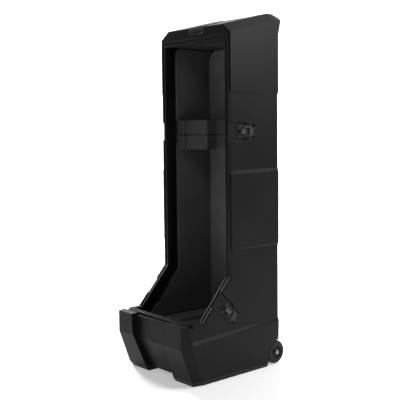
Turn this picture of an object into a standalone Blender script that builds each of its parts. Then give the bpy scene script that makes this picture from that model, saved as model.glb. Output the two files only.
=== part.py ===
"""Wheeled upright transport case, the open body half of it.

A rotationally moulded shell stands on its foot.  Its parting rim runs down the tall
front, over a sloping shoulder and round the foot, and holds a rubber seal.  Foam
liners, a foot block and a stepped brace lie inside.  Draw latches sit in pockets
along the rim, and two wheels turn on bolts in wells at the rear of the foot.

Metres, +Z up, X across, the open front faces -Y.  The model is built with y = 0 on
the top plane of the rim and is then shifted so that the origin lies under the
middle of the whole case.
"""
import math

import bmesh
import bpy
from mathutils import Matrix, Vector

# ---------------------------------------------------------------- driving sizes
CASE_HEIGHT = 1.300        # floor to the top of the tilt handle
HALF_WIDTH = 0.191         # to the face of a proud band
REAR_Y = 0.2458            # rear wall, measured back from the rim
FOOT_FRONT = 0.2235        # front of the foot's bumpers, ahead of the rim
FOOT_TOP = 0.218           # top of the rim round the foot
BEND_Z = 0.361             # where the upright rim turns into the slope
SLOPE_RUN = 0.127          # how far the slope comes forward
WALL = 0.0065              # moulded wall
BAND_STEP = 0.0085         # how deep a recessed band lies at the front edge
BAND_STEP_REAR = 0.0025    # and how deep it still is at the rear corner
CLEARANCE = 0.0003         # between pieces that touch

OPENING_HALF = HALF_WIDTH - 0.0275   # the opening between the rim's inner edges
OPENING_TOP = CASE_HEIGHT - 0.1125
OPENING_FOOT = 0.166       # inner edge of the rim at the foot, ahead of the rim plane
RIDGE = 0.0065             # the rim's inner ridge
GROOVE = 0.0075            # between the ridges
OUTER_RIDGE = 0.0075
GROOVE_DEPTH = 0.008
RIM_HEIGHT = 0.003         # ridges above the shoulder down the front
FOOT_RIM_HEIGHT = 0.010    # and round the foot
RIM_ROOT = 0.01325         # how deep the rim's bead is set into the shell
RIM_FLARE = 0.002          # how far the rim's outer wall leans out towards its root
RIM_SHIFT = 0.004          # moves the rim's root off the bends in the shoulder
LIP_DEPTH = 0.020          # how far the rim's inner lip reaches in
CORNER_CUT = 0.006         # grows into the chamfer across the rim's corners
FACET_X = 0.0115           # facet down each front corner of the foot
FACET_Y = 0.0365
FACET_END = 0.008          # the side recesses fade in behind the facet
CORNER = 0.006             # radius of the rear corners
SKID_IN = 0.007            # skids stand in from the sides
SKID_BACK = 0.057          # and back from the front at the floor
TOE_BACK = 0.046           # and at the top of the toe's rounding
BUMPER_TOP = FOOT_TOP - 0.0015

ROOF_FRONT_Z = CASE_HEIGHT - 0.0544  # roof's front edge
ROOF_SLOPE = 0.24          # rise per metre towards the rear
ROOF_CHAMFER_X = 0.042     # chamfer along each side of the roof
ROOF_CHAMFER_Z = 0.030
FLANGE_TOP = ROOF_FRONT_Z - 0.0011   # plate in the rim's plane above the opening
FLANGE_HALF = HALF_WIDTH - 0.0045
HANDLE_FLARE = 0.0165      # how far the tilt handle's lip stands behind the rear wall
HANDLE_DIP = 0.0075        # grip between the two horns of the handle
HANDLE_DIP_HALF = HALF_WIDTH - 0.098

WHEEL_RADIUS = 0.0438
WHEEL_WIDTH = 0.030
WHEEL_OUTER_X = HALF_WIDTH - 0.005
WHEEL_FLOOR_GAP = 0.001    # wheels hang just clear while the case stands on its skids
AXLE_Y = REAR_Y - 0.0103
AXLE_RADIUS = 0.005
WELL_CLEARANCE = 0.0057
WHEEL_SIDE_GAP = 0.005     # hub to the well's inner wall
NUT_POCKET = 0.022         # pocket in the rear wall for each wheel's lock nut
NUT_POCKET_HALF = 0.0125

LINER_FACE_X = OPENING_HALF + 0.0015  # face of the side liners
LINER_FRONT_Y = 0.054
LINER_BACK_Y = REAR_Y - 0.0268        # face of the back liner
LINER_TOP = OPENING_TOP + 0.0025
LINER_LID = 0.0145         # thickness of the top liner
LINER_CORNER = 0.020       # rounding of a side liner's upper front corner
LINER_ROUND = 0.045        # rounding of the back liner's upper corners
BLOCK_TOP = 0.162          # top of the foot block
BLOCK_RELIEF = 0.004       # gap that the moulded block keeps at its lower edges
SLOT_LEFT = -0.524 * HALF_WIDTH       # slot in the foot block
SLOT_RIGHT = -0.288 * HALF_WIDTH
SLOT_FLOOR = 0.030
BRACE_HEIGHT = 0.112
BRACE_STEP_X = (0.068 - HALF_WIDTH, 0.1854 - HALF_WIDTH)
BRACE_STEP_Y = (0.013, 0.060)

LATCH_FLOOR_X = HALF_WIDTH - 0.0125   # floor of the side pockets
LATCH_BACK = 0.071         # lever pin behind the rim plane
LATCH_LOWER_RUN = 0.0963   # along the slope from its upper end
TOP_LATCH_X = 0.009        # the top latch stands a little off the middle
POCKET_HALF = 0.0325       # the wide front part of a pocket
POCKET_STEP = 0.077        # its end
POCKET_NARROW = 0.0235     # half width round the latch behind it
POCKET_END = 0.120
POCKET_RAMP = 0.7          # run of the rear ramp for its rise
TOP_POCKET_HALF = 0.039
TOP_POCKET_DEPTH = 0.022


def up(share):
    """A height between the bend in the rim and the top of the case."""
    return BEND_Z + share * (CASE_HEIGHT - BEND_Z)


LATCH_UPPER_Z = up(0.5447)
BRACE_BOTTOM = up(0.4728)
BRACE_TOP = BRACE_BOTTOM + BRACE_HEIGHT

COLOURS = {
    "polyethylene": ((0.022, 0.022, 0.024), 0.62, 0.0),
    "rubber": ((0.012, 0.012, 0.012), 0.78, 0.0),
    "foam": ((0.020, 0.020, 0.021), 0.95, 0.0),
    "black_steel": ((0.030, 0.030, 0.032), 0.42, 0.6),
    "zinc_steel": ((0.55, 0.55, 0.56), 0.30, 1.0),
    "hub_plastic": ((0.018, 0.018, 0.019), 0.50, 0.0),
}

RIM_WIDTH = RIDGE + GROOVE + OUTER_RIDGE
BELOW = 0.05               # how far a cutter reaches past what it cuts
ASIDE = HALF_WIDTH + 0.11  # and how far it reaches to the side
WELL_WALL_X = WHEEL_OUTER_X - WHEEL_WIDTH - WHEEL_SIDE_GAP
AXLE_Z = WHEEL_RADIUS + WHEEL_FLOOR_GAP
INNER_SIDE_X = HALF_WIDTH - BAND_STEP - WALL
INNER_REAR_Y = REAR_Y - BAND_STEP_REAR - WALL


# ------------------------------------------------------------------- scene tools
def clear_scene():
    for obj in list(bpy.data.objects):
        bpy.data.objects.remove(obj, do_unlink=True)


def material(name):
    found = bpy.data.materials.get(name)
    if found:
        return found
    colour, roughness, metallic = COLOURS[name]
    made = bpy.data.materials.new(name)
    made.use_nodes = True
    shader = made.node_tree.nodes["Principled BSDF"]
    shader.inputs["Base Color"].default_value = (*colour, 1.0)
    shader.inputs["Roughness"].default_value = roughness
    shader.inputs["Metallic"].default_value = metallic
    return made


def empty(name, parent=None, matrix=None):
    node = bpy.data.objects.new(name, None)
    bpy.context.collection.objects.link(node)
    node.empty_display_size = 0.02
    node.parent = parent
    if matrix is not None:
        node.matrix_local = matrix
    return node


def solid(name, verts, faces, parent, finish, location=(0, 0, 0), smooth=None, split=False):
    """A named mesh object with its faces turned outwards, and split where they twist."""
    mesh = bpy.data.meshes.new(name)
    mesh.from_pydata([tuple(v) for v in verts], [], faces)
    work = bmesh.new()
    work.from_mesh(mesh)
    if split:
        bmesh.ops.triangulate(work, faces=work.faces)
    bmesh.ops.recalc_face_normals(work, faces=work.faces)
    work.to_mesh(mesh)
    work.free()
    if smooth:
        mesh.shade_smooth()
        mesh.set_sharp_from_angle(angle=math.radians(smooth))
    obj = bpy.data.objects.new(name, mesh)
    bpy.context.collection.objects.link(obj)
    obj.parent = parent
    obj.location = location
    if finish:
        mesh.materials.append(material(finish))
    else:
        obj.hide_render = True
        obj.display_type = "WIRE"
    return obj


def boolean(target, tool, operation="DIFFERENCE"):
    step = target.modifiers.new(tool.name, "BOOLEAN")
    step.operation = operation
    step.solver = "EXACT"
    step.object = tool
    return step


# ---------------------------------------------------------------- shape functions
def loft_mesh(rings, close_ends=True):
    """Rings of equal length joined by quads, with a face on each end."""
    count = len(rings[0])
    verts = [point for ring in rings for point in ring]
    faces = []
    for row in range(len(rings) - 1):
        for col in range(count):
            right = (col + 1) % count
            faces.append((row * count + col, row * count + right,
                          (row + 1) * count + right, (row + 1) * count + col))
    if close_ends:
        faces.append(tuple(range(count))[::-1])
        faces.append(tuple((len(rings) - 1) * count + col for col in range(count)))
    return verts, faces


def ring_mesh(loops):
    """Closed loops that are joined in turn, the last to the first again."""
    verts, faces = loft_mesh(list(loops) + [loops[0]], close_ends=False)
    count = len(loops[0])
    last = len(loops) * count
    verts = verts[:last]
    faces = [tuple(index % last for index in face) for face in faces]
    return verts, faces


def side_prism(outline, low, high):
    """An outline in the YZ plane carried along X; low and high are x or x(z)."""
    at_low = low if callable(low) else (lambda z: low)
    at_high = high if callable(high) else (lambda z: high)
    return loft_mesh([[(at_low(z), y, z) for y, z in outline],
                      [(at_high(z), y, z) for y, z in outline]])


def flat_prism(outline, low, high):
    """An outline in the XY plane carried from low to high along Z."""
    return loft_mesh([[(x, y, low) for x, y in outline],
                      [(x, y, high) for x, y in outline]])


def turned(profile, segments):
    """A profile of (x, radius) points turned about X; a radius may follow the angle."""
    loops = []
    turns = [2 * math.pi * k / segments for k in range(segments)]
    for x, radius in profile:
        at = radius if callable(radius) else (lambda angle, fixed=radius: fixed)
        loops.append([(x, at(a) * math.cos(a), at(a) * math.sin(a)) for a in turns])
    return loops


def hexagon(flat):
    """The radius of a hexagon at an angle, from half its width across flats."""
    sixth = math.pi / 3
    return lambda angle: flat / math.cos(angle % sixth - sixth / 2)


def turned_ring(profile, segments):
    return ring_mesh(turned(profile, segments))


def turned_plug(profile, segments):
    return loft_mesh(turned(profile, segments))


def arc(centre, radius, start, end, steps):
    """Points on a circle from the start angle to the end angle, in degrees."""
    return [(centre[0] + radius * math.cos(math.radians(start + (end - start) * k / steps)),
             centre[1] + radius * math.sin(math.radians(start + (end - start) * k / steps)))
            for k in range(steps + 1)]


# ------------------------------------------------------------------ the rim's path
RIM_PATH = [(0.0, OPENING_TOP), (0.0, BEND_Z), (-SLOPE_RUN, FOOT_TOP), (-FOOT_FRONT, FOOT_TOP)]


def offset_path(depth, points=None):
    """The rim's side view moved in by depth, square to each stretch of it."""
    points = points or RIM_PATH
    normals = []
    for (y0, z0), (y1, z1) in zip(points, points[1:]):
        length = math.hypot(y1 - y0, z1 - z0)
        normals.append((-(z1 - z0) / length, (y1 - y0) / length))
    moved = []
    for index, (y, z) in enumerate(points):
        before = normals[max(index - 1, 0)]
        after = normals[min(index, len(normals) - 1)]
        share = 1.0 + before[0] * after[0] + before[1] * after[1]
        moved.append((y + depth * (before[0] + after[0]) / share,
                      z + depth * (before[1] + after[1]) / share))
    return moved


def slope_direction():
    run = Vector((0.0, -SLOPE_RUN, FOOT_TOP - BEND_Z))
    return run.normalized()


def rim_loop(out, up):
    """The closed line that runs round the opening, out from its edge and up from the rim."""
    top, bend, toe, front = offset_path(-up)
    if up < -GROOVE_DEPTH - CLEARANCE:
        bend = (bend[0], bend[1] + RIM_SHIFT)
        toe = (toe[0] - RIM_SHIFT, toe[1])
    side = OPENING_HALF + out
    cut = (out + CORNER_CUT) * (2 - math.sqrt(2))
    right = [(side - cut, top[0], OPENING_TOP + out), (side, top[0], OPENING_TOP + out - cut),
             (side, *bend), (side, *toe),
             (side, -OPENING_FOOT - out + cut, front[1]), (side - cut, -OPENING_FOOT - out, front[1])]
    return right + [(-x, y, z) for x, y, z in reversed(right)]


# ---------------------------------------------------------------------- the shell
ROOF_END_Y = (CASE_HEIGHT - ROOF_FRONT_Z) / ROOF_SLOPE


def shell_levels():
    """Heights where the moulding's outline changes: z front, z rear, y front, y rear,
    half width at the front facet, ahead of the shoulder and at the rear corner."""
    wide = (HALF_WIDTH, HALF_WIDTH, HALF_WIDTH)
    inset = (HALF_WIDTH, HALF_WIDTH - BAND_STEP, HALF_WIDTH - BAND_STEP_REAR)
    skid = (HALF_WIDTH - SKID_IN, HALF_WIDTH - SKID_IN, HALF_WIDTH - SKID_IN)
    rear_in = REAR_Y - BAND_STEP_REAR
    front = -FOOT_FRONT
    flare = REAR_Y + HANDLE_FLARE
    top = CASE_HEIGHT
    return [
        (0.0, 0.0, front + SKID_BACK, REAR_Y - 0.028, *skid),
        (0.017, 0.017, front + TOE_BACK, REAR_Y - 0.006, *wide),
        (0.140, 0.140, front, REAR_Y, *wide),
        (0.147, 0.168, front, REAR_Y, *wide),
        (0.158, 0.178, front, rear_in, *inset),
        (up(0.098), up(0.098), front, rear_in, *inset),
        (up(0.1055), up(0.1055), front, REAR_Y, *wide),
        (up(0.3866), up(0.3866), front, REAR_Y, *wide),
        (up(0.4004), up(0.4004), front, rear_in, *inset),
        (up(0.6869), up(0.6869), front, rear_in, *inset),
        (up(0.6944), up(0.6944), front, REAR_Y, *wide),
        (top - 0.0805, top - 0.0805, front, REAR_Y, *wide),
        (top - 0.032, top - 0.032, front, flare - 0.005, *wide),
        (top - 0.021, top - 0.021, front, flare, *wide),
        (top - 0.010, top - 0.010, front, flare - 0.004, *wide),
        (top + 0.020, top + 0.020, front, flare - 0.030, *wide),
    ]


def shell_rings(inset):
    """The moulding's outline at each level, moved in by the wall for its inside."""
    rings = []
    for index, level in enumerate(shell_levels()):
        z_front, z_rear, y_front, y_rear, half_facet, half_front, half_rear = level
        if inset and index == 0:
            z_front = z_rear = inset
        front = y_front + inset
        rear = y_rear - inset
        shoulder = 0.016
        x_facet = half_facet - inset
        x_front = half_front - inset
        x_rear = half_rear - inset
        radius = CORNER - min(inset, CORNER / 2)
        right = [(x_facet - FACET_X, front), (x_facet, front + FACET_Y),
                 (x_front, front + FACET_Y + FACET_END), (x_front, shoulder)]
        right += arc((x_rear - radius, rear - radius), radius, 0, 90, 3)
        share = [(y - front) / (rear - front) for _, y in right]
        points = [(x, y, z_front + (z_rear - z_front) * part)
                  for (x, y), part in zip(right, share)]
        rings.append(points + [(-x, y, z) for x, y, z in reversed(points)])
    return rings


RIM_FRONT = -OPENING_FOOT - RIM_WIDTH - RIM_FLARE    # outer edge of the rim at the foot


def front_cutter_outline(depth, wall):
    """Everything ahead of the rim's surface moved in by depth, and above the bumpers."""
    top, bend, toe, front = offset_path(depth)
    level = min(front[1], FOOT_TOP - FOOT_RIM_HEIGHT)
    toe = (toe[0] - (toe[1] - level) * SLOPE_RUN / (BEND_Z - FOOT_TOP), level)
    step = RIM_FRONT - 0.001 - wall
    bumper = BUMPER_TOP - wall
    return [(top[0], CASE_HEIGHT + BELOW), (top[0], bend[1]), toe, (step, level),
            (step - 0.002, bumper), (front[0] - BELOW, bumper),
            (front[0] - BELOW, CASE_HEIGHT + BELOW)]


def roof_cutter_rings(drop):
    """Sections of what lies above the roof, its side chamfers included."""
    rings = []
    reach = 0.10
    ridge = HALF_WIDTH - ROOF_CHAMFER_X
    for y in (-BELOW, ROOF_END_Y, REAR_Y + BELOW):
        top = min(ROOF_FRONT_Z + ROOF_SLOPE * y, CASE_HEIGHT) - drop
        low = top - ROOF_CHAMFER_Z * (ROOF_CHAMFER_X + reach) / ROOF_CHAMFER_X
        edge = HALF_WIDTH + reach
        rings.append([(-edge, y, low), (-ridge, y, top), (ridge, y, top), (edge, y, low),
                      (edge, y, CASE_HEIGHT + 2 * BELOW), (-edge, y, CASE_HEIGHT + 2 * BELOW)])
    return rings


def handle_dip_rings(grow):
    """The grip between the horns of the tilt handle, with slanted ends."""
    floor = CASE_HEIGHT - HANDLE_DIP - grow
    start = (floor - ROOF_FRONT_Z) / ROOF_SLOPE - 0.03
    half = HANDLE_DIP_HALF + grow
    return [[(-half, y, floor), (half, y, floor), (half + 0.012, y, floor + BELOW),
             (-half - 0.012, y, floor + BELOW)] for y in (start, REAR_Y + BELOW)]


FOOT_PANEL_BACK = 0.024    # panel between the bumpers, behind their face
PANEL_FOOT = 0.128         # where the panel turns in under the case
PANEL_RAKE = 0.045         # how far it comes back down there
CHANNEL_HEIGHT = 0.016     # channel between the skids
CHANNEL_HALF = HALF_WIDTH - 0.115


def foot_panel(grow):
    """The recess between the bumpers, carried on under the case as a channel."""
    panel = -FOOT_FRONT + FOOT_PANEL_BACK + grow
    sole = CHANNEL_HEIGHT + grow
    ledge = FOOT_TOP - FOOT_RIM_HEIGHT - grow
    above = FOOT_TOP + 0.08
    back = RIM_FRONT - 0.001 + grow
    outline = [(-FOOT_FRONT - BELOW, above), (back, above), (back, ledge), (panel, ledge),
               (panel, PANEL_FOOT), (panel + PANEL_RAKE, sole), (REAR_Y + BELOW, sole),
               (REAR_Y + BELOW, -BELOW), (-FOOT_FRONT - BELOW, -BELOW)]

    def half(z):
        return CHANNEL_HALF + grow + 0.12 * z
    return side_prism(outline, lambda z: -half(z), half)


def well_outline(grow):
    """Side view of a wheel well: round over the wheel and open behind and below."""
    radius = WHEEL_RADIUS + WELL_CLEARANCE + grow
    top = arc((AXLE_Y, AXLE_Z), radius, 90, 180, 8)
    return [(REAR_Y + BELOW, AXLE_Z + radius)] + top + [(AXLE_Y - radius, -BELOW),
                                                        (REAR_Y + BELOW, -BELOW)]


def nut_pocket(sign, grow):
    """The pocket behind a well's inner wall, open to the rear, for the bolt's lock nut."""
    half = NUT_POCKET_HALF + grow
    back = REAR_Y + BELOW
    flare = 0.06 * (back - AXLE_Y + half)
    outline = [(AXLE_Y - half, AXLE_Z - half), (back, AXLE_Z - half - flare),
               (back, AXLE_Z + half + flare), (AXLE_Y - half, AXLE_Z + half)]
    web = WELL_WALL_X - WALL
    return side_prism(outline, sign * (web - NUT_POCKET - grow), sign * (web + grow))


def latch_frames():
    """Where each latch sits: x out of the case, y away from the rim, z across."""
    frames = {}
    slope = slope_direction()
    for side, sign in (("right", 1), ("left", -1)):
        outward = Vector((sign, 0, 0))
        back = Vector((0, 1, 0))
        origin = Vector((sign * LATCH_FLOOR_X, 0, LATCH_UPPER_Z))
        frames["latch_upper_" + side] = frame_matrix(outward, back, origin)
        back = Vector((0, -slope.z, slope.y))
        origin = Vector((sign * LATCH_FLOOR_X, 0, BEND_Z)) + slope * LATCH_LOWER_RUN
        frames["latch_lower_" + side] = frame_matrix(outward, back, origin)
    tilt = math.atan(ROOF_SLOPE)
    back = Vector((0, math.cos(tilt), math.sin(tilt)))
    outward = Vector((0, -math.sin(tilt), math.cos(tilt)))
    origin = Vector((TOP_LATCH_X, 0, ROOF_FRONT_Z)) - outward * TOP_POCKET_DEPTH
    frames["latch_top"] = frame_matrix(outward, back, origin)
    return frames


def frame_matrix(outward, back, origin):
    across = outward.cross(back)
    matrix = Matrix((outward, back, across)).transposed().to_4x4()
    matrix.translation = origin
    return matrix


def pocket_mesh(half, grow):
    """A latch pocket in its latch's frame: wide at the rim, narrow round the latch, with a
    ramp at its rear end.  Grown by the wall it gives the pad inside."""
    def ring(x, draft, ramp):
        wide = half + grow + draft
        narrow = POCKET_NARROW + grow + draft
        right = [(-BELOW, wide), (POCKET_STEP + grow, wide),
                 (POCKET_STEP + grow + half - POCKET_NARROW, narrow),
                 (POCKET_END + grow + ramp, narrow)]
        return [(x, y, z) for y, z in right] + [(x, y, -z) for y, z in reversed(right)]
    reach = 0.045
    return loft_mesh([ring(-grow, 0.0, 0.0), ring(reach, 0.003, POCKET_RAMP * reach)])


def flange_outline():
    """Front view of the plate above the opening, from the rim's outer ridge up."""
    middle = RIM_WIDTH - OUTER_RIDGE / 2
    inner = rim_loop(middle, 0.0)[:2]
    low = inner[1][2]
    corner = HALF_WIDTH - ROOF_CHAMFER_X - 0.0025
    drop = ROOF_CHAMFER_Z * (FLANGE_HALF - corner) / ROOF_CHAMFER_X
    right = [(inner[0][0], inner[0][2]), (inner[1][0], low), (FLANGE_HALF, low),
             (FLANGE_HALF, FLANGE_TOP - drop), (corner, FLANGE_TOP)]
    return right + [(-x, z) for x, z in reversed(right)]


RIVET_SPOTS = {"left": (-0.019, -0.0155), "right": (-0.019, 0.0155), "rear": (0.041, 0.0)}
RIVET_SHANK = 0.002
PLATE_FRONT = -0.024
PLATE_BACK = 0.046
PLATE_HALF = 0.020
PLATE_THICK = 0.002


def build_shell(base, frames):
    verts, faces = loft_mesh(shell_rings(0.0))
    shell = solid("shell", verts, faces, base, "polyethylene", split=True)
    cutters = [
        solid("cut_front", *side_prism(front_cutter_outline(RIM_HEIGHT, 0.0), -ASIDE, ASIDE),
              base, None),
        solid("cut_roof", *loft_mesh(roof_cutter_rings(0.0)), base, None),
        solid("cut_handle_dip", *loft_mesh(handle_dip_rings(0.0)), base, None),
        solid("cut_foot_panel", *foot_panel(0.0), base, None),
    ]
    for cutter in cutters:
        boolean(shell, cutter)

    spare = -RIDGE / 2
    section = [(spare, -RIM_ROOT), (spare, 0.0), (RIM_WIDTH, 0.0),
               (RIM_WIDTH + RIM_FLARE, -RIM_ROOT)]
    bead = solid("add_rim", *ring_mesh([rim_loop(out, rise) for out, rise in section]), base,
                 None)
    boolean(shell, bead, "UNION")
    plate = [[(x, y, z) for x, z in flange_outline()] for y in (0.0004, 0.0004 + RIM_ROOT)]
    boolean(shell, solid("add_flange", *loft_mesh(plate), base, None), "UNION")
    section = [(RIDGE, -GROOVE_DEPTH), (RIDGE, GROOVE), (RIDGE + GROOVE, GROOVE),
               (RIDGE + GROOVE, -GROOVE_DEPTH)]
    boolean(shell, solid("cut_groove", *ring_mesh([rim_loop(out, rise) for out, rise in section]),
                         base, None))

    inside = solid("cut_inside", *loft_mesh(shell_rings(WALL)), base, None, split=True)
    inner_cutters = [
        solid("inner_front", *side_prism(front_cutter_outline(LIP_DEPTH, WALL), -ASIDE, ASIDE),
              base, None),
        solid("inner_roof", *loft_mesh(roof_cutter_rings(WALL)), base, None),
        solid("inner_handle", *loft_mesh(handle_dip_rings(WALL)), base, None),
        solid("inner_foot_panel", *foot_panel(WALL), base, None),
    ]
    for side, sign in (("right", 1), ("left", -1)):
        well = solid("cut_well_" + side,
                     *side_prism(well_outline(0.0), sign * WELL_WALL_X, sign * ASIDE), base, None)
        boolean(shell, well)
        wall = solid("inner_well_" + side,
                     *side_prism(well_outline(WALL), sign * (WELL_WALL_X - WALL), sign * ASIDE),
                     base, None)
        inner_cutters.append(wall)
        boolean(shell, solid("cut_nut_" + side, *nut_pocket(sign, 0.0), base, None))
        inner_cutters.append(solid("inner_nut_" + side, *nut_pocket(sign, WALL), base, None))
    for name, matrix in frames.items():
        half = TOP_POCKET_HALF if name == "latch_top" else POCKET_HALF
        holder = empty("pocket_" + name, base, matrix)
        boolean(shell, solid("cut_" + name, *pocket_mesh(half, 0.0), holder, None))
        inner_cutters.append(solid("inner_" + name, *pocket_mesh(half, WALL), holder, None))
    for cutter in inner_cutters:
        boolean(inside, cutter)
    boolean(shell, inside)

    top, bend, toe, front = offset_path(LIP_DEPTH + WALL)
    above = offset_path(-BELOW / 2)
    outline = [(above[0][0], OPENING_TOP), above[1], above[2], (-OPENING_FOOT, above[3][1]),
               (-OPENING_FOOT, front[1]), toe, bend, (top[0], OPENING_TOP)]
    opening = solid("cut_opening", *side_prism(outline, -OPENING_HALF, OPENING_HALF), base, None)
    boolean(shell, opening)

    bore = AXLE_RADIUS + CLEARANCE
    for sign in (1, -1):
        loops = turned([(sign * (WELL_WALL_X + 0.02), bore),
                        (sign * (WELL_WALL_X - WALL - 0.005), bore)], 16)
        hole = solid("cut_bolt_%s" % ("right" if sign > 0 else "left"), *loft_mesh(loops),
                     base, None, (0, AXLE_Y, AXLE_Z))
        boolean(shell, hole)
    for name, matrix in frames.items():
        holder = bpy.data.objects["pocket_" + name]
        verts, faces = [], []
        for y, z in RIVET_SPOTS.values():
            loops = turned([(-WALL - 0.006, RIVET_SHANK + CLEARANCE),
                            (0.006, RIVET_SHANK + CLEARANCE)], 8)
            add_mesh(verts, faces, loft_mesh(loops), (0, y + LATCH_BACK, z))
        boolean(shell, solid("cut_rivets_" + name, verts, faces, holder, None))
    return shell


def add_mesh(verts, faces, piece, offset=(0, 0, 0)):
    """Adds a second body's points and faces to the lists, moved by the offset."""
    start = len(verts)
    verts += [(x + offset[0], y + offset[1], z + offset[2]) for x, y, z in piece[0]]
    faces += [tuple(index + start for index in face) for face in piece[1]]


# --------------------------------------------------------------------------- seal
def build_seal(base):
    """A D-section rubber cord pressed into the rim's groove."""
    out = RIDGE + CLEARANCE
    wide = GROOVE - 2 * CLEARANCE
    low = CLEARANCE - GROOVE_DEPTH
    crown = [(out + wide / 2 - wide / 2 * math.cos(math.radians(a)),
              low + 0.003 + 0.0022 * math.sin(math.radians(a))) for a in (0, 45, 90, 135, 180)]
    section = [(out, low)] + crown + [(out + wide, low)]
    mesh = ring_mesh([rim_loop(width, height) for width, height in section])
    return solid("rim_seal", *mesh, base, "rubber")


# --------------------------------------------------------------------------- foam
def side_liner_outline():
    top, bend, toe, _ = offset_path(LINER_FRONT_Y)
    low = BLOCK_TOP + CLEARANCE
    slope = (toe[1] - bend[1]) / (toe[0] - bend[0])
    toe_y = bend[0] + (low - bend[1]) / slope
    r = LINER_CORNER
    corner = arc((top[0] + r, LINER_TOP - r), r, 180, 90, 4)
    rear = INNER_REAR_Y - 4 * CLEARANCE
    return corner + [(rear, LINER_TOP), (rear, low), (toe_y, low), bend]


def build_liners(base, frames):
    outer = INNER_SIDE_X - CLEARANCE
    for side, sign in (("left", -1), ("right", 1)):
        liner = solid("liner_" + side,
                      *side_prism(side_liner_outline(), sign * LINER_FACE_X, sign * outer),
                      base, "foam")
        for name in ("latch_upper_" + side, "latch_lower_" + side):
            holder = bpy.data.objects["pocket_" + name]
            relief = solid("relief_" + name, *pocket_mesh(POCKET_HALF, WALL + 0.003), holder, None)
            boolean(liner, relief)
    half = LINER_FACE_X - CLEARANCE
    low = BLOCK_TOP + CLEARANCE
    r = LINER_ROUND
    right = arc((half - r, LINER_TOP - r), r, 0, 90, 6)
    outline = [(half, low)] + right + [(-x, z) for x, z in reversed(right)] + [(-half, low)]
    rings = [[(x, y, z) for x, z in outline] for y in (LINER_BACK_Y, INNER_REAR_Y - CLEARANCE)]
    solid("liner_back", *loft_mesh(rings), base, "foam")
    rear = INNER_REAR_Y - CLEARANCE
    lid = [(-outer, LINER_FRONT_Y), (outer, LINER_FRONT_Y), (outer, rear), (-outer, rear)]
    solid("liner_top", *flat_prism(lid, LINER_TOP + CLEARANCE, LINER_TOP + LINER_LID),
          base, "foam")


def build_foot_block(base):
    """One block that fills the foot, with a slot from front to back."""
    panel = -FOOT_FRONT + FOOT_PANEL_BACK + WALL + CLEARANCE
    sole = CHANNEL_HEIGHT + WALL + CLEARANCE
    rear = INNER_REAR_Y - CLEARANCE
    face = panel + BLOCK_RELIEF
    outline = [(panel + PANEL_RAKE + BLOCK_RELIEF, sole), (face, PANEL_FOOT), (face, BLOCK_TOP),
               (rear, BLOCK_TOP), (rear - BLOCK_RELIEF, sole)]
    outer = INNER_SIDE_X - CLEARANCE
    block = solid("foot_block", *side_prism(outline, -outer, outer), base, "foam")
    for side, sign in (("left", -1), ("right", 1)):
        well = solid("foam_well_" + side,
                     *side_prism(well_outline(WALL + CLEARANCE),
                                 sign * (WELL_WALL_X - WALL - CLEARANCE), sign * ASIDE),
                     base, None)
        boolean(block, well)
        boolean(block, solid("foam_nut_" + side, *nut_pocket(sign, WALL + CLEARANCE),
                             base, None))
    floor = sole + SLOT_FLOOR
    slot = [(-BELOW + panel, floor), (rear + BELOW, floor), (rear + BELOW, BLOCK_TOP + BELOW),
            (panel - BELOW, BLOCK_TOP + BELOW)]
    cut = solid("cut_slot", *side_prism(slot, SLOT_LEFT, SLOT_RIGHT), base, None)
    boolean(block, cut)


def build_brace(base):
    """Two die-cut planks laid on each other, stepped back twice towards the right."""
    half = LINER_FACE_X - CLEARANCE
    y0 = LINER_FRONT_Y
    back = LINER_BACK_Y - CLEARANCE
    (x1, x2), (d1, d2) = BRACE_STEP_X, BRACE_STEP_Y
    outline = [(-half, y0), (x1, y0), (x1, y0 + d1), (x2, y0 + d1), (x2, y0 + d2),
               (half, y0 + d2), (half, back), (-half, back)]
    middle = (BRACE_BOTTOM + BRACE_TOP) / 2
    solid("brace_lower", *flat_prism(outline, BRACE_BOTTOM, middle - CLEARANCE / 2), base, "foam")
    solid("brace_upper", *flat_prism(outline, middle + CLEARANCE / 2, BRACE_TOP), base, "foam")


# ------------------------------------------------------------------------- latches
PIN_HEIGHT = 0.0065        # lever pin above the pocket floor
PIN_RADIUS = 0.002
HOOK_PIN_BACK = 0.014      # hook pin behind the lever pin
HOOK_PIN_RADIUS = 0.00175
EAR_INNER = 0.0155
EAR_THICK = 0.002
CHEEK_OUTER = 0.0150
CHEEK_THICK = 0.0018
WEB_START = 0.022
LEVER_END = 0.044
HOOK_HALF = 0.009
HOOK_THICK = 0.0018
HOOK_REACH = 0.032         # from its pin to its claw
ROUND = 12


def across_prism(outline, low, high):
    """An outline of (x, y) points in the latch's frame carried along its z."""
    return loft_mesh([[(x, y, low) for x, y in outline], [(x, y, high) for x, y in outline]])


def pin_mesh(radius, half, head_radius, head):
    """A pin along z with a thin head on both ends."""
    profile = [(-half - head, head_radius * 0.8), (-half - head * 0.4, head_radius),
               (-half, head_radius), (-half, radius), (half, radius), (half, head_radius),
               (half + head * 0.4, head_radius), (half + head, head_radius * 0.8)]
    verts, faces = turned_plug(profile, ROUND)
    return [(y, z, x) for x, y, z in verts], faces


def hole_mesh(x, y, radius, half):
    verts, faces = turned_plug([(-half, radius), (half, radius)], ROUND)
    return [(vy + x, vz + y, vx) for vx, vy, vz in verts], faces


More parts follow.
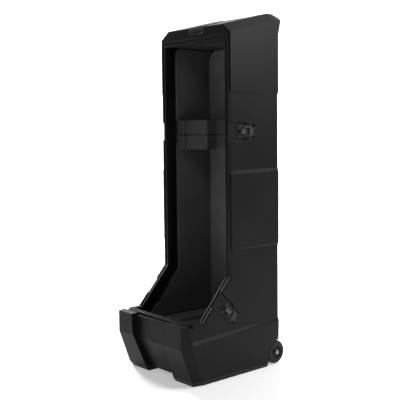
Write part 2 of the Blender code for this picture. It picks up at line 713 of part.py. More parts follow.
def build_plate(name, frame):
    """Pressed base plate with rounded corners and two ears for the lever pin."""
    r = 0.005
    y0, y1, z1 = PLATE_FRONT, PLATE_BACK, PLATE_HALF
    outline = (arc((y1 - r, z1 - r), r, 0, 90, 3) + arc((y0 + r, z1 - r), r, 90, 180, 3)
               + arc((y0 + r, r - z1), r, 180, 270, 3) + arc((y1 - r, r - z1), r, 270, 360, 3))
    low = CLEARANCE
    high = low + PLATE_THICK
    rings = [[(x, y, z) for y, z in outline] for x in (low, high)]
    plate = solid(name + "_plate", *loft_mesh(rings), frame, "black_steel")
    ear = arc((PIN_HEIGHT, 0.0), 0.0044, -90, 90, 6)
    ear = [(x, y) for x, y in ear]
    ear = [(low + PLATE_THICK / 2, -0.0075)] + ear + [(low + PLATE_THICK / 2, 0.0075)]
    for sign in (-1, 1):
        tool = solid("%s_ear_%d" % (name, sign), *across_prism(
            ear, sign * EAR_INNER, sign * (EAR_INNER + EAR_THICK)), frame, None)
        boolean(plate, tool, "UNION")
    bore = solid(name + "_ear_bore", *hole_mesh(PIN_HEIGHT, 0, PIN_RADIUS + 0.0002, 0.025),
                 frame, None)
    boolean(plate, bore)
    verts, faces = [], []
    for y, z in RIVET_SPOTS.values():
        add_mesh(verts, faces, turned_plug([(-0.004, RIVET_SHANK + CLEARANCE),
                                            (0.006, RIVET_SHANK + CLEARANCE)], 8), (0, y, z))
    boolean(plate, solid(name + "_plate_holes", verts, faces, frame, None))
    return plate


def build_lever(name, pivot):
    """A pressed channel: two cheeks on the lever pin, a web behind the hook, a finger lip."""
    top = 0.0046
    thick = 0.002
    front = [(0.0038, 0.0), (top, 0.008), (top, LEVER_END - 0.006), (0.0005, LEVER_END - 0.012),
             (-0.0036, 0.018), (-0.0038, 0.0)]
    nose = arc((0, 0), 0.0038, 0, -180, 6)
    outline = list(reversed(nose)) + front[1:-1]
    verts, faces = [], []
    for sign in (-1, 1):
        add_mesh(verts, faces, across_prism(outline, sign * (CHEEK_OUTER - CHEEK_THICK),
                                            sign * CHEEK_OUTER))
    lever = solid(name + "_lever", verts, faces, pivot, "black_steel")
    web = [(top - 0.0004, WEB_START), (top + thick, WEB_START + 0.0015),
           (top + thick, LEVER_END - 0.007), (top + thick + 0.0016, LEVER_END),
           (top + thick, LEVER_END + 0.001), (top - 0.0004, LEVER_END - 0.006)]
    tool = solid(name + "_web", *across_prism(web, -CHEEK_OUTER, CHEEK_OUTER), pivot, None)
    boolean(lever, tool, "UNION")
    for label, y, radius in (("a", 0.0, PIN_RADIUS), ("b", HOOK_PIN_BACK, HOOK_PIN_RADIUS)):
        bore = solid("%s_bore_%s" % (name, label), *hole_mesh(0, y, radius + 0.0002, 0.02),
                     pivot, None)
        boolean(lever, bore)
    return lever


def build_hook(name, pivot):
    """A flat hook: an eye round its pin, a strip over the lever pin, a claw at its end."""
    rise = 0.0024
    eye = HOOK_PIN_RADIUS + 0.0002
    outer = rise + HOOK_THICK
    tip = -HOOK_REACH
    outline = [(outer, -0.001), (outer, tip + 0.004), (outer - 0.0012, tip + 0.001),
               (outer - 0.003, tip), (-0.0018, tip), (-0.0022, tip + 0.0012),
               (-0.0004, tip + 0.0030), (0.0012, tip + 0.0020), (rise - 0.0004, tip + 0.0030),
               (rise, tip + 0.0042), (rise, -0.0030)]
    lobe = [(0.0037 * math.cos(math.radians(a)), 0.0037 * math.sin(math.radians(a)))
            for a in (-125, -150, 180, 150, 120, 90, 60, 30)]
    outline = outline + lobe
    hook = solid(name + "_hook", *across_prism(outline, -HOOK_HALF, HOOK_HALF), pivot,
                 "zinc_steel")
    bore = solid(name + "_hook_bore", *hole_mesh(0, 0, eye, 0.02), pivot, None)
    boolean(hook, bore)
    return hook


def build_latch(name, base, matrix):
    frame = empty(name, base, matrix @ Matrix.Translation((0, LATCH_BACK, 0)))
    build_plate(name, frame)
    pivot = empty(name + "_pivot", frame, Matrix.Translation((PIN_HEIGHT, 0, 0)))
    hook_pivot = empty(name + "_hook_pivot", pivot, Matrix.Translation((0, HOOK_PIN_BACK, 0)))
    build_lever(name, pivot)
    build_hook(name, hook_pivot)
    half = EAR_INNER + EAR_THICK + CLEARANCE / 2
    solid(name + "_lever_pin", *pin_mesh(PIN_RADIUS, half, PIN_RADIUS + 0.0008, 0.0008),
          pivot, "zinc_steel")
    solid(name + "_hook_pin", *pin_mesh(HOOK_PIN_RADIUS, CHEEK_OUTER - 0.0010, HOOK_PIN_RADIUS,
                                        0.0012), hook_pivot, "zinc_steel")
    head = CLEARANCE + PLATE_THICK + CLEARANCE
    tail = -WALL - CLEARANCE
    profile = [(tail - 0.0012, 0.0026), (tail, 0.0032), (tail, RIVET_SHANK),
               (head, RIVET_SHANK), (head, 0.0034), (head + 0.0012, 0.0024)]
    for spot, (y, z) in RIVET_SPOTS.items():
        solid("%s_rivet_%s" % (name, spot), *turned_plug(profile, 8), frame, "zinc_steel",
              (0, y, z))


# -------------------------------------------------------------------------- wheels
HUB_RADIUS = 0.029
HUB_BORE = AXLE_RADIUS + 0.0003
WHEEL_SEGMENTS = 40


def build_wheel(side, sign, base):
    """Tyre, hub, shoulder bolt, washer and lock nut; x = 0 is the wheel's mid-plane."""
    centre = WHEEL_OUTER_X - WHEEL_WIDTH / 2
    half = WHEEL_WIDTH / 2
    turn = Matrix.Identity(4) if sign > 0 else Matrix.Rotation(math.pi, 4, "Z")
    spot = Matrix.Translation((sign * centre, AXLE_Y, AXLE_Z))
    axle = empty("wheel_%s_axle" % side, base, spot @ turn)
    r = WHEEL_RADIUS
    seat = HUB_RADIUS + CLEARANCE
    tyre = [(-half + 0.002, seat), (-half + 0.0008, seat + 0.002), (-half, r - 0.009),
            (-half + 0.0025, r - 0.0045), (-half + 0.0075, r - 0.0012), (0, r),
            (half - 0.0075, r - 0.0012), (half - 0.0025, r - 0.0045), (half, r - 0.009),
            (half - 0.0008, seat + 0.002), (half - 0.002, seat)]
    solid("tyre_" + side, *turned_ring(tyre, WHEEL_SEGMENTS), axle, "rubber", smooth=40)
    rim = HUB_RADIUS
    hub = [(-half + 0.003, rim), (half - 0.002, rim), (half - 0.0008, rim - 0.0015),
           (half - 0.0015, rim - 0.004), (half - 0.008, rim - 0.0065), (half - 0.009, 0.012),
           (half - 0.001, 0.0105), (half, 0.0092), (half, HUB_BORE), (-half, HUB_BORE),
           (-half, 0.0100), (-half + 0.009, 0.012), (-half + 0.009, rim - 0.006)]
    solid("hub_" + side, *turned_ring(hub, WHEEL_SEGMENTS), axle, "hub_plastic", smooth=40)
    head = half + CLEARANCE
    wall = -half - WHEEL_SIDE_GAP
    inner = wall - WALL
    nut = 0.0055
    bolt = [(inner - CLEARANCE - nut - 0.002, AXLE_RADIUS - 0.001),
            (inner - CLEARANCE - nut - 0.001, AXLE_RADIUS), (head, AXLE_RADIUS),
            (head, 0.0085), (head + 0.0015, 0.0085), (head + 0.0040, 0.0068),
            (head + 0.0055, 0.0035)]
    solid("axle_bolt_" + side, *turned_plug(bolt, 24), axle, "zinc_steel", smooth=35)
    washer = [(-half - CLEARANCE, 0.0092), (-half - CLEARANCE, HUB_BORE),
              (wall + CLEARANCE, HUB_BORE), (wall + CLEARANCE, 0.0092)]
    solid("spacer_" + side, *turned_ring(washer, 24), axle, "zinc_steel", smooth=35)
    outer = hexagon(0.0083)
    lock = [(inner - CLEARANCE, outer), (inner - CLEARANCE, HUB_BORE),
            (inner - CLEARANCE - nut, HUB_BORE), (inner - CLEARANCE - nut, outer)]
    solid("lock_nut_" + side, *turned_ring(lock, 24), axle, "zinc_steel")


# ------------------------------------------------------------------------ the case
def main():
    clear_scene()
    rear = AXLE_Y + WHEEL_RADIUS
    middle = (rear - FOOT_FRONT) / 2
    base = empty("rim_plane", None, Matrix.Translation((0, -middle, 0)))
    frames = latch_frames()
    build_shell(base, frames)
    build_seal(base)
    build_liners(base, frames)
    build_foot_block(base)
    build_brace(base)
    for name, matrix in frames.items():
        build_latch(name, base, matrix)
    for side, sign in (("right", 1), ("left", -1)):
        build_wheel(side, sign, base)


main()
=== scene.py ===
import math

import bmesh
import bpy
import numpy as np
from mathutils import Matrix, Vector


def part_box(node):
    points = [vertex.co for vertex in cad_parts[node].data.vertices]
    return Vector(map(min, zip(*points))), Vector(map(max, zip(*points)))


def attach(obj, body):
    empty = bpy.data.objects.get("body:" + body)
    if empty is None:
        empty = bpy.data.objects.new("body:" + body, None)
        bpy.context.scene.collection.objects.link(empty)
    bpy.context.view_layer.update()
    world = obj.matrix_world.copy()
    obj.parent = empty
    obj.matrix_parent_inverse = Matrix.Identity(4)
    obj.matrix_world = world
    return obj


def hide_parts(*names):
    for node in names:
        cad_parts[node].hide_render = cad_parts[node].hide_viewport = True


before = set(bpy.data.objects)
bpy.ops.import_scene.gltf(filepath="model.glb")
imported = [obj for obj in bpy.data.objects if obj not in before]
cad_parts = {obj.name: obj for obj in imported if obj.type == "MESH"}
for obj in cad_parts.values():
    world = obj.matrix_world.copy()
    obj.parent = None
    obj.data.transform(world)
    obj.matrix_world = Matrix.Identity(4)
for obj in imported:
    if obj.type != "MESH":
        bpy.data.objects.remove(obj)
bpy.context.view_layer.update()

# ---------------------------------------------------------------- camera, floor and light
# The camera stands at the photograph's angle, right of the open front and below the top.
# Floor and backdrop are one pale sweep that gives off a little light, as a light table
# does, and soft lamps stand round it.

rim_y = -0.0279                    # plane of the rim's face above the slopes
frame_px = 400                     # width of the photograph's frame
focal_px = 783.265                 # focal length in the same pixels
film_width = 36


def photo_camera(place, yaw, tilt, roll, shift):
    """Camera at place. Its view is level at yaw, tipped down by tilt, and turned about
    itself by roll, in degrees; right and up come from sines and cosines of the three."""
    a, b, c = (math.radians(v) for v in (yaw, tilt, roll))
    level = Vector((-math.sin(a), math.cos(a), 0))
    right = Vector((math.cos(a), math.sin(a), 0))
    ahead = level * math.cos(b) - Vector((0, 0, math.sin(b)))
    up = Vector((0, 0, math.cos(b))) + level * math.sin(b)
    turned_right = right * math.cos(c) + up * math.sin(c)
    turned_up = up * math.cos(c) - right * math.sin(c)
    data = bpy.data.cameras.new("photo_camera")
    data.sensor_width = film_width
    data.lens = film_width * focal_px / frame_px
    data.shift_y = shift
    data.clip_start = 0.05
    data.clip_end = 60
    camera = bpy.data.objects.new("photo_camera", data)
    bpy.context.collection.objects.link(camera)
    matrix = Matrix((turned_right, turned_up, -ahead)).transposed().to_4x4()
    matrix.translation = place
    camera.matrix_world = matrix
    return camera


bpy.context.scene.camera = photo_camera(
    (2.176, -1.8632 + rim_y, 0.8969), yaw=49.0632, tilt=4.4613, roll=-0.5756, shift=-0.035)


class Sock:
    """A shader socket that takes part in Python arithmetic through Math nodes."""

    def __init__(self, tree, socket):
        self.tree = tree
        self.socket = socket

    def _math(self, operation, *values):
        return node(self.tree, "Math", {"operation": operation}, dict(enumerate(values))).out()

    def __add__(self, other):
        return self._math("ADD", self, other)

    def __radd__(self, other):
        return self._math("ADD", other, self)

    def __sub__(self, other):
        return self._math("SUBTRACT", self, other)

    def __rsub__(self, other):
        return self._math("SUBTRACT", other, self)

    def __mul__(self, other):
        return self._math("MULTIPLY", self, other)

    def __rmul__(self, other):
        return self._math("MULTIPLY", other, self)

    def clamp(self, low, high):
        """(self - low) / (high - low), held between 0 and 1."""
        scaled = (self - low) * (1.0 / (high - low))
        return node(self.tree, "Clamp", {}, {0: scaled}).out()


class Made:
    """A shader node whose outputs are read as Sock values."""

    def __init__(self, tree, made):
        self.tree = tree
        self.made = made

    def out(self, key=0):
        return Sock(self.tree, self.made.outputs[key])


def node(tree, kind, settings, sockets):
    """Adds a node: its settings first, then values or links for its sockets."""
    made = tree.nodes.new("ShaderNode" + kind)
    for name, value in settings.items():
        setattr(made, name, value)
    for key, value in sockets.items():
        target = made.inputs[key]
        if isinstance(value, Sock):
            tree.links.new(value.socket, target)
        else:
            target.default_value = value
    return Made(tree, made)


def new_material(name, constants):
    """A Principled material with its constant sockets set directly."""
    made = bpy.data.materials.new(name)
    made.use_nodes = True
    tree = made.node_tree
    shader = tree.nodes["Principled BSDF"]
    for key, value in constants.items():
        shader.inputs[key].default_value = value
    return made, tree, shader


def grey(value):
    """A neutral colour."""
    return (value, value, value, 1.0)


def mesh_object(name, points, faces, finish, smooth=40.0):
    """An object at the origin from an array of points and rows of corner numbers; edges
    sharper than smooth, in degrees, stay sharp."""
    mesh = bpy.data.meshes.new(name)
    mesh.from_pydata(np.asarray(points, float).reshape(-1, 3).tolist(), [], faces)
    mesh.update()
    mesh.shade_smooth()
    mesh.set_sharp_from_angle(angle=math.radians(smooth))
    made = bpy.data.objects.new(name, mesh)
    bpy.context.collection.objects.link(made)
    mesh.materials.append(finish)
    return made


sweep_white, _, _ = new_material("pale_sweep", {
    "Base Color": grey(0.86), "Roughness": 0.9, "Emission Color": grey(1.0),
    "Emission Strength": 0.40})


def sweep_surface(front, back, bend, top, half_width, turn):
    """A floor strip from front to back that turns up through a quarter circle, with depth
    back + bend sin a and height bend - bend cos a, and goes on up to top. The whole is
    turned in plan by turn, in degrees."""
    angle = np.linspace(0, np.pi / 2, 17)
    depth = np.concatenate(([front], back + bend * np.sin(angle), [back + bend]))
    height = np.concatenate(([0.0], bend - bend * np.cos(angle), [top]))
    side = np.array([-half_width, half_width])
    turn = math.radians(turn)
    across, behind = np.meshgrid(side, depth)
    _, high = np.meshgrid(side, height)
    x = across * math.cos(turn) - behind * math.sin(turn)
    y = across * math.sin(turn) + behind * math.cos(turn)
    points = np.stack([x, y, high], -1).reshape(-1, 3)
    faces = [(2 * r, 2 * r + 1, 2 * r + 3, 2 * r + 2) for r in range(len(depth) - 1)]
    return points, faces


floor = mesh_object("studio_sweep", *sweep_surface(
    front=-7.0, back=6.0, bend=1.5, top=7.0, half_width=9.0, turn=49), sweep_white)


def soft_lamp(name, place, target, size, power):
    """A rectangular lamp at place that faces target: size in metres, power in watts."""
    data = bpy.data.lights.new(name, "AREA")
    data.shape = "RECTANGLE"
    data.size, data.size_y = size
    data.energy = power
    lamp = bpy.data.objects.new(name, data)
    bpy.context.collection.objects.link(lamp)
    lamp.location = place
    lamp.rotation_euler = (Vector(target) - Vector(place)).to_track_quat("-Z", "Y").to_euler()


# The top and key lamps stand behind the rim's plane, so that the rim's face stays dark. The
# opening lamp reaches the foam, and the ridge lamp, far left, draws a line on the slopes.
soft_lamp("top_lamp", (0.6, 1.7, 3.7), (0, 0.2, 0), (2.8, 2.8), 38)
soft_lamp("key_lamp", (2.3, 1.8, 2.1), (0, 0.1, 1.1), (1.2, 1.2), 62)
soft_lamp("front_lamp", (-0.5, -2.4, 0.45), (0, -0.1, 0.4), (1.0, 0.6), 2)
soft_lamp("opening_lamp", (1.3, -1.5, 2.3), (0, 0, 0.3), (0.7, 0.7), 8)
soft_lamp("ridge_lamp", (-2.9, 0.05, 2.3), (0, 0, 0.3), (0.6, 0.6), 125)
soft_lamp("sweep_lamp", (-2.2, 2.0, 4.2), (-5.0, 4.4, 1.4), (4.0, 3.0), 420)

# The air is pale to the camera in every view, and lights the case only faintly.
air_light, air_seen = 0.08, 0.85
world = bpy.data.worlds.new("studio_air")
bpy.context.scene.world = world
world.use_nodes = True
bpy.context.scene.view_settings.view_transform = "Standard"
seen = node(world.node_tree, "LightPath", {}, {}).out("Is Camera Ray")
air = world.node_tree.nodes["Background"]
air.inputs["Color"].default_value = grey(1.0)
world.node_tree.links.new((seen * air_seen + air_light).socket, air.inputs["Strength"])

# ---------------------------------------------------------------------------- moulded shell
# One hollow moulding of near-black polyethylene, turned in a hot mould, so its skin has a
# fine orange peel, a faint flow mottle and paler scuffs, with drag marks low on the foot.


def object_point(tree):
    """The point on the piece in its own coordinates, in metres."""
    return node(tree, "TexCoord", {}, {}).out("Object")


def height_of(tree, point):
    """The point's height above the floor."""
    return node(tree, "SeparateXYZ", {}, {0: point}).out("Z")


def noise(tree, point, scale, detail=2.0, rough=0.5):
    """Cloudy noise from 0 to 1, with scale features in a metre."""
    return node(tree, "TexNoise", {}, {"Vector": point, "Scale": scale, "Detail": detail,
                                       "Roughness": rough}).out("Fac")


def mix_colour(tree, share, first, second):
    """A colour between two, by a share from 0 to 1."""
    made = node(tree, "Mix", {"data_type": "RGBA"}, {0: share, 6: first, 7: second})
    return made.out(2)


def rounded_normal(tree, radius, samples=4):
    """The surface's normal, as if its edges were rounded by radius."""
    return node(tree, "Bevel", {"samples": samples}, {"Radius": radius}).out()


def bump(tree, height, distance, strength, normal=None):
    """A normal tipped by the slope of height, from 0 to 1 over distance in metres."""
    sockets = {"Height": height, "Distance": distance, "Strength": strength}
    if normal is not None:
        sockets["Normal"] = normal
    return node(tree, "Bump", {}, sockets).out()


def link(tree, value, shader, key):
    """Feeds a varying value to one of the shader's sockets."""
    tree.links.new(value.socket, shader.inputs[key])


foot_height = 0.25                 # drag marks fade out by this height
drag = (160.0, 14.0, 160.0)        # fine across, long from front to back
poly_black, tree, shader = new_material("moulded_polyethylene", {"Specular IOR Level": 0.12})
point = object_point(tree)
mottle = noise(tree, point, 5.0, 4.0, 0.6)
scuff = noise(tree, point, 38.0, 5.0, 0.7).clamp(0.60, 0.78)
low_down = 1.0 - height_of(tree, point).clamp(0.0, foot_height)
streak_point = node(tree, "Mapping", {}, {"Vector": point, "Scale": drag}).out()
rub = noise(tree, streak_point, 1.0, 3.0, 0.6).clamp(0.58, 0.80) * low_down
skin = mix_colour(tree, mottle.clamp(0.3, 0.7), grey(0.0058), grey(0.0088))
worn_skin = mix_colour(tree, scuff * 0.14 + rub * 0.16, skin, grey(0.045))
link(tree, worn_skin, shader, "Base Color")
link(tree, 0.37 + mottle * 0.12 + scuff * 0.06 + rub * 0.12, shader, "Roughness")
peel = noise(tree, point, 650.0)
waves = noise(tree, point, 60.0)
link(tree, bump(tree, peel * 0.35 + waves, 0.0004, 0.35, rounded_normal(tree, 0.0025, 6)),
     shader, "Normal")


def finish_node(name, finish):
    """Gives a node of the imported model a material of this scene."""
    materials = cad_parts[name].data.materials
    materials.clear()
    materials.append(finish)


finish_node("shell", poly_black)

# ------------------------------------------------------------------------------- rim seal
# A D-section rubber cord, pressed into the groove between the rim's two ridges and glued
# end to end.  It follows the rim round the opening and bends a little at each corner.

seal_black, tree, shader = new_material("seal_rubber", {"Specular IOR Level": 0.4})
point = object_point(tree)
dust = noise(tree, point, 60.0, 4.0, 0.7)
link(tree, mix_colour(tree, dust.clamp(0.45, 0.75), grey(0.006), grey(0.014)), shader,
     "Base Color")
link(tree, 0.52 + dust * 0.2, shader, "Roughness")
link(tree, bump(tree, noise(tree, point, 900.0), 0.0002, 0.3), shader, "Normal")

groove_out = 0.01025               # middle of the groove, out from the opening's edge
opening_cut = 0.006                # cut across the opening's corners
seal_side = 0.1635 + groove_out
seal_top = 1.1875 + groove_out
seal_foot = -0.166 - groove_out
seal_cut = (groove_out + opening_cut) * (2 - math.sqrt(2))
foot_top = 0.218                   # height of the rim round the foot
bend_z = 0.361                     # height at which the slope starts
slope_run = 0.127                  # how far the slope comes forward


def seal_route():
    """Corner points of the groove's middle line, right side and mirrored left side, with
    the rim's normal at each: a sum of the normals of the faces that meet there."""
    front = np.array((0.0, -1.0, 0.0))
    lean = np.array((0.0, -(bend_z - foot_top), slope_run))
    lean /= np.linalg.norm(lean)
    top = np.array((0.0, 0.0, 1.0))
    right = [((seal_side - seal_cut, 0.0, seal_top), front),
             ((seal_side, 0.0, seal_top - seal_cut), front),
             ((seal_side, 0.0, bend_z), front + lean),
             ((seal_side, -slope_run, foot_top), lean + top),
             ((seal_side, seal_foot + seal_cut, foot_top), top),
             ((seal_side - seal_cut, seal_foot, foot_top), top)]
    left = [((-x, y, z), up) for (x, y, z), up in reversed(right)]
    corners = np.array([place for place, _ in right + left])
    normals = np.array([up / np.linalg.norm(up) for _, up in right + left])
    return corners, normals


def eased_route(corners, normals, reach, spacing):
    """Closed line: straight between corners, and at each corner the quadratic curve
    (1-t)^2 a + 2t(1-t) corner + t^2 b, where a and b lie reach before and behind it."""
    lines, ups = [], []
    count = len(corners)
    for k in range(count):
        before, here, after = corners[k - 1], corners[k], corners[(k + 1) % count]
        a = here + (before - here) * reach / np.linalg.norm(before - here)
        b = here + (after - here) * reach / np.linalg.norm(after - here)
        t = np.linspace(0, 1, 9)[:, None]
        lines.append((1 - t) ** 2 * a + 2 * t * (1 - t) * here + t ** 2 * b)
        ups.append(np.repeat(normals[k][None], 9, 0))
        c = after + (here - after) * reach / np.linalg.norm(here - after)
        steps = max(2, int(np.linalg.norm(c - b) / spacing))
        t = np.linspace(0, 1, steps + 1)[1:-1, None]
        lines.append(b + (c - b) * t)
        ups.append(normals[k] * (1 - t) + normals[(k + 1) % count] * t)
    return np.concatenate(lines), np.concatenate(ups)


def closed_faces(rows, count):
    """Quads between neighbouring points of a grid that closes on itself both ways, as rows
    of corner numbers: point c of row r has the number r * count + c."""
    r, c = np.meshgrid(np.arange(rows), np.arange(count), indexing="ij")
    near, far, side = r * count, (r + 1) % rows * count, (c + 1) % count
    return np.stack([near + c, far + c, far + side, near + side], -1).reshape(-1, 4).tolist()


def swept_tube(route, ups, section):
    """Points route + a * across + b * up, for each point of a closed route and each profile
    point (a, b), where up is square to the route and across is ahead x up."""
    ahead = np.roll(route, -1, 0) - np.roll(route, 1, 0)
    ahead /= np.linalg.norm(ahead, axis=1)[:, None]
    ups = ups - ahead * (ups * ahead).sum(1)[:, None]
    ups /= np.linalg.norm(ups, axis=1)[:, None]
    across = np.cross(ahead, ups)
    points = (route[:, None] + across[:, None] * section[None, :, :1]
              + ups[:, None] * section[None, :, 1:])
    return points.reshape(-1, 3), closed_faces(*points.shape[:2])


def outward(piece):
    """Turns the faces of a closed mesh outwards, after its double points are merged."""
    work = bmesh.new()
    work.from_mesh(piece.data)
    bmesh.ops.remove_doubles(work, verts=work.verts, dist=1e-6)
    bmesh.ops.recalc_face_normals(work, faces=work.faces)
    work.to_mesh(piece.data)
    work.free()


def seal_section(half, spring, rise, base):
    """D section below the rim's face: a half ellipse (half cos a, spring + rise sin a) with
    a fine crease 0.0005 exp(-(x / 0.0007)^2) along its crown, on a flat base."""
    angle = np.linspace(0, np.pi, 13)
    crown = np.stack([half * np.cos(angle), spring + rise * np.sin(angle)], -1)
    crown[:, 1] -= 0.0005 * np.exp(-(crown[:, 0] / 0.0007) ** 2)
    return np.concatenate([crown, [(-half, base), (0.0, base), (half, base)]])


route, ups = eased_route(*seal_route(), reach=0.004, spacing=0.012)
route[:, 1] += rim_y
section = seal_section(half=0.0034, spring=-0.0049, rise=0.0026, base=-0.0076)
seal = mesh_object("seal_cord", *swept_tube(route, ups, section), seal_black, 50.0)
outward(seal)
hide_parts("rim_seal")
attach(seal, "case")

# --------------------------------------------------------------------------- foam liners
# Sheets of black closed-cell foam, 10 to 18 mm thick, cut with a hot wire and glued into
# the shell: one on each side, one behind with rounded upper corners, and a lid on top.


def foam_finish(name, dark, light, lines=0):
    """Closed-cell foam: fine open cells in the cut skin and faint pale rubs between the two
    greys, with that many level marks of the hot wire in a metre of height."""
    made, tree, shader = new_material(name, {"Specular IOR Level": 0.15, "Sheen Weight": 0.04,
                                             "Sheen Roughness": 0.5})
    point = object_point(tree)
    cloud = noise(tree, point, 9.0, 3.0, 0.55)
    rub = noise(tree, point, 45.0, 4.0, 0.7).clamp(0.62, 0.8)
    share = 0.25 + cloud.clamp(0.3, 0.7) * 0.35 + rub * 0.3
    cells = node(tree, "TexVoronoi", {}, {"Vector": point, "Scale": 620.0}).out("Distance")
    relief = cells * 0.5 + noise(tree, point, 120.0, 3.0, 0.6)
    if lines:
        wobble = noise(tree, point, 14.0) * 0.0012
        level = (height_of(tree, point) + wobble) * lines
        phase = node(tree, "Math", {"operation": "FRACT"}, {0: level}).out()
        seam = node(tree, "Math", {"operation": "ABSOLUTE"}, {0: phase - 0.5}).out()
        seam = 1.0 - seam.clamp(0.0, 0.07)
        share = share * (1.0 - seam * 0.5)
        relief = relief - seam * 1.5
    link(tree, mix_colour(tree, share, grey(dark), grey(light)), shader, "Base Color")
    link(tree, 0.70 + cloud * 0.12, shader, "Roughness")
    link(tree, bump(tree, relief, 0.0005, 0.4), shader, "Normal")
    return made


def relaxed_foam(name, source, finish, voxel, passes, slack):
    """A foam piece: the solid's form in voxels, each point eased towards its neighbours in
    so many passes, and then let in along its normal by slack (1 + w) / 2, where the slow
    wave w = sin(17x + 11y + 0.7) sin(23y + 1.9) sin(13z)."""
    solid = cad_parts[source]
    work = bmesh.new()
    work.from_mesh(solid.data)
    work.transform(solid.matrix_world)
    bmesh.ops.remove_doubles(work, verts=work.verts, dist=1e-5)
    mesh = bpy.data.meshes.new(name)
    work.to_mesh(mesh)
    work.free()
    made = bpy.data.objects.new(name, mesh)
    bpy.context.collection.objects.link(made)
    remesh = made.modifiers.new("voxels", "REMESH")
    remesh.mode = "VOXEL"
    remesh.voxel_size = voxel
    ease = made.modifiers.new("ease", "SMOOTH")
    ease.factor = 0.5
    ease.iterations = passes
    view = made.evaluated_get(bpy.context.evaluated_depsgraph_get())
    eased = bpy.data.meshes.new_from_object(view)
    made.modifiers.clear()
    made.data = eased
    count = len(eased.vertices)
    place = np.empty(count * 3)
    normal = np.empty(count * 3)
    eased.vertices.foreach_get("co", place)
    eased.vertex_normals.foreach_get("vector", normal)
    place, normal = place.reshape(-1, 3), normal.reshape(-1, 3)
    x, y, z = place.T
    wave = np.sin(17 * x + 11 * y + 0.7) * np.sin(23 * y + 1.9) * np.sin(13 * z)
    place = place - normal * (slack * (0.5 + 0.5 * wave))[:, None]
    eased.vertices.foreach_set("co", place.reshape(-1))
    eased.materials.clear()
    eased.materials.append(finish)
    eased.shade_smooth()
    eased.update()
    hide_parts(source)
    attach(made, "case")


liner_black = foam_finish("liner_foam", dark=0.056, light=0.098)
for side in ("left", "right"):
    relaxed_foam("foam_side_" + side, "liner_" + side, liner_black,
                 voxel=0.0030, passes=5, slack=0.0007)
# The back sheet is the same black foam as the side sheets, given paler greys: painted light,
# where it faces the lamps through the opening.
back_painted_light = foam_finish("back_foam_painted_light", dark=0.090, light=0.165)
relaxed_foam("foam_back", "liner_back", back_painted_light, voxel=0.0040, passes=4, slack=0.0012)
# The lid's sheet is the same black foam again, given far darker greys: painted shade, where it
# hangs under the top of the case.
lid_painted_shade = foam_finish("lid_foam_painted_shade", dark=0.010, light=0.020)
relaxed_foam("foam_lid", "liner_top", lid_painted_shade, voxel=0.0040, passes=4, slack=0.0005)

# --------------------------------------------------------------------- foot block and brace
# The foot is filled by one block of firmer foam with a slot from front to back.  The brace
# is two die-cut planks laid on each other; hot-wire passes left fine level lines on them.

block_black = foam_finish("block_foam", dark=0.110, light=0.190)
relaxed_foam("foam_foot", "foot_block", block_black, voxel=0.0040, passes=4, slack=0.0008)
plank_black = foam_finish("plank_foam", dark=0.034, light=0.056, lines=54.0)
for name, source in (("foam_plank_low", "brace_lower"), ("foam_plank_high", "brace_upper")):
    relaxed_foam(name, source, plank_black, voxel=0.0028, passes=4, slack=0.0004)

# ---------------------------------------------------------------------------- draw latches
# Five recessed draw latches.  Base plate and lever are black-coated pressings, rubbed to
# bare metal on their edges; hook, pins and rivets are dark zinc plate.


def edge_share(tree, radius, low, high):
    """Share of wear at convex edges: one less the cosine between a normal rounded over
    the radius and the flat face's normal."""
    flat_normal = node(tree, "NewGeometry", {}, {}).out("Normal")
    same = node(tree, "VectorMath", {"operation": "DOT_PRODUCT"},
                {0: rounded_normal(tree, radius, 6), 1: flat_normal}).out("Value")
    return (1.0 - same).clamp(low, high)


black_steel, tree, shader = new_material("black_steel", {"Specular IOR Level": 0.4})
point = object_point(tree)
grain = noise(tree, point, 240.0, 3.0, 0.6)
worn = noise(tree, point, 90.0, 5.0, 0.75).clamp(0.56, 0.66)
rubbed = (edge_share(tree, 0.0008, 0.02, 0.20) * (0.25 + grain) + worn * 0.12).clamp(0.0, 1.0)
link(tree, mix_colour(tree, rubbed, grey(0.010), grey(0.26)), shader, "Base Color")
link(tree, rubbed, shader, "Metallic")
link(tree, 0.36 + grain * 0.22, shader, "Roughness")
link(tree, bump(tree, grain, 0.0002, 0.3, rounded_normal(tree, 0.0006)), shader, "Normal")

zinc_steel, tree, shader = new_material("zinc_steel", {"Metallic": 1.0})
point = object_point(tree)
crystals = node(tree, "TexVoronoi", {}, {"Vector": point, "Scale": 420.0}).out("Distance")
haze = noise(tree, point, 70.0, 4.0, 0.65)
link(tree, mix_colour(tree, haze.clamp(0.35, 0.7), grey(0.03), grey(0.09)), shader,
     "Base Color")
link(tree, 0.26 + haze * 0.2 + crystals * 0.1, shader, "Roughness")
link(tree, bump(tree, haze, 0.0002, 0.3, rounded_normal(tree, 0.0005)), shader, "Normal")

latches = ("latch_lower_left", "latch_lower_right", "latch_top", "latch_upper_left",
           "latch_upper_right")
for latch in latches:
    for part in ("plate", "lever"):
        finish_node(latch + "_" + part, black_steel)
    for part in ("hook", "hook_pin", "lever_pin", "rivet_left", "rivet_right", "rivet_rear"):
        finish_node(latch + "_" + part, zinc_steel)

# ---------------------------------------------------------------------------------- wheels
# Two solid rubber tyres on moulded dished hubs.  A shoulder bolt with a domed head holds
# each wheel on the well's inner wall, with a spacer before it and a lock nut behind it.

tyre_black, tree, shader = new_material("tyre_rubber", {"Specular IOR Level": 0.35})
point = object_point(tree)
dust = noise(tree, point, 80.0, 4.0, 0.7)
link(tree, mix_colour(tree, dust.clamp(0.5, 0.75), grey(0.010), grey(0.040)), shader,
     "Base Color")
link(tree, 0.60 + dust * 0.2, shader, "Roughness")
link(tree, bump(tree, noise(tree, point, 500.0, 3.0), 0.0003, 0.4), shader, "Normal")

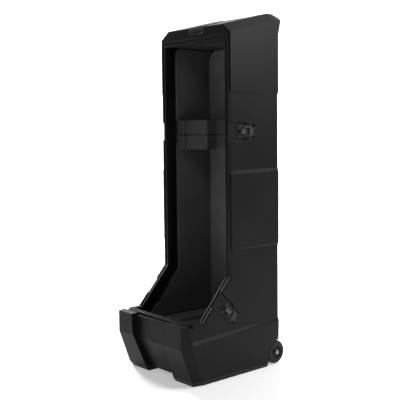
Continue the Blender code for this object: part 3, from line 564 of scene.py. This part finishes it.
hub_black, tree, shader = new_material("hub_plastic", {"Specular IOR Level": 0.45})
point = object_point(tree)
flow = noise(tree, point, 40.0, 3.0, 0.6)
link(tree, mix_colour(tree, flow.clamp(0.4, 0.7), grey(0.006), grey(0.014)), shader,
     "Base Color")
link(tree, 0.38 + flow * 0.18, shader, "Roughness")
link(tree, bump(tree, noise(tree, point, 300.0), 0.0002, 0.3), shader, "Normal")

bolt_steel, tree, shader = new_material("bolt_steel", {"Metallic": 1.0})
point = object_point(tree)
turned = noise(tree, point, 260.0, 3.0, 0.6)
link(tree, mix_colour(tree, turned, grey(0.20), grey(0.36)), shader, "Base Color")
link(tree, 0.30 + turned * 0.15, shader, "Roughness")
link(tree, bump(tree, turned, 0.0001, 0.2, rounded_normal(tree, 0.0012)), shader, "Normal")

wheel_steps = 120                  # points round a tyre or hub
tyre_seat = 0.0293                 # inner radius of the tyre
hub_rim = 0.0290                   # outer radius of the hub
hub_bore = 0.0053                  # radius of the hole for the bolt


def turned_surface(profile, centre, flip, ribs=None):
    """Points (x, r cos a, r sin a) for each profile point (x, r) and angle a, round the
    axle; ribs(x, r, a) gives how far a point stands out along the axle."""
    angle = np.linspace(0, 2 * np.pi, wheel_steps, endpoint=False)
    x = np.repeat(profile[:, :1], wheel_steps, 1)
    r = np.repeat(profile[:, 1:], wheel_steps, 1)
    a = np.repeat(angle[None], len(profile), 0)
    if ribs is not None:
        x = x + ribs(x, r, a)
    points = np.stack([flip * x, r * np.cos(a), r * np.sin(a)], -1) + centre
    return points.reshape(-1, 3), closed_faces(len(profile), wheel_steps)


def tyre_profile(half, seat, radius):
    """Crowned tread with three shallow grooves and a rounded bead on each side:
    r = radius - 0.0085 |x / half|^3.2 - 0.0009 exp(-((x - groove) / 0.0008)^4)."""
    x = np.linspace(-half, half, 41)
    crown = radius - 0.0085 * np.abs(x / half) ** 3.2
    for groove in (-0.0075, 0.0, 0.0075):
        crown = crown - 0.0009 * np.exp(-((x - groove) / 0.0008) ** 4)
    crown[[0, -1]] = radius - 0.0105
    bead = np.array([(half, seat + 0.0045), (half - 0.0008, seat + 0.0030),
                     (half - 0.0012, seat + 0.0012), (half - 0.0022, seat)])
    return np.concatenate([np.stack([x, crown], -1), bead, bead[::-1] * (-1, 1)])


def hub_profile(half, rim, bore):
    """Dished hub as points (x, r): rim flange, deep dish, raised boss round the bore, flat
    back with a shallow hollow."""
    return np.array([
        (-half + 0.0030, rim), (half - 0.0022, rim), (half - 0.0012, rim - 0.0006),
        (half - 0.0009, rim - 0.0018), (half - 0.0016, rim - 0.0036),
        (half - 0.0060, rim - 0.0048), (half - 0.0085, rim - 0.0062),
        (half - 0.0095, 0.0190), (half - 0.0095, 0.0140), (half - 0.0080, 0.0122),
        (half - 0.0016, 0.0106), (half - 0.0004, 0.0098), (half, 0.0088), (half, bore),
        (-half, bore), (-half, 0.0100), (-half + 0.0090, 0.0120),
        (-half + 0.0090, rim - 0.0060)])


def hub_ribs(x, r, a):
    """Six low ribs across the dish: 0.0045 cos(3a)^40, eased to nothing at its edges."""
    within = np.clip((r - 0.0115) / 0.002, 0, 1) * np.clip((0.0245 - r) / 0.002, 0, 1)
    return np.where(x > 0, 0.0045 * within * np.cos(3 * a) ** 40, 0.0)


for side, flip in (("left", -1.0), ("right", 1.0)):
    low, high = (np.array(corner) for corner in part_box("tyre_" + side))
    centre = (low + high) / 2
    half = (high[0] - low[0]) / 2
    radius = (high[2] - low[2]) / 2
    tyre = mesh_object("tyre_ring_" + side, *turned_surface(
        tyre_profile(half, tyre_seat, radius), centre, flip), tyre_black, 50.0)
    hub = mesh_object("dished_hub_" + side, *turned_surface(
        hub_profile(half, hub_rim, hub_bore), centre, flip, hub_ribs), hub_black, 40.0)
    for piece, source, slot in ((tyre, "tyre_", "tyre_rubber"), (hub, "hub_", "hub_plastic")):
        outward(piece)
        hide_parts(source + side)
        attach(piece, "wheel_" + side)
    finish_node("axle_bolt_" + side, bolt_steel)
    for part in ("spacer_", "lock_nut_"):
        finish_node(part + side, zinc_steel)
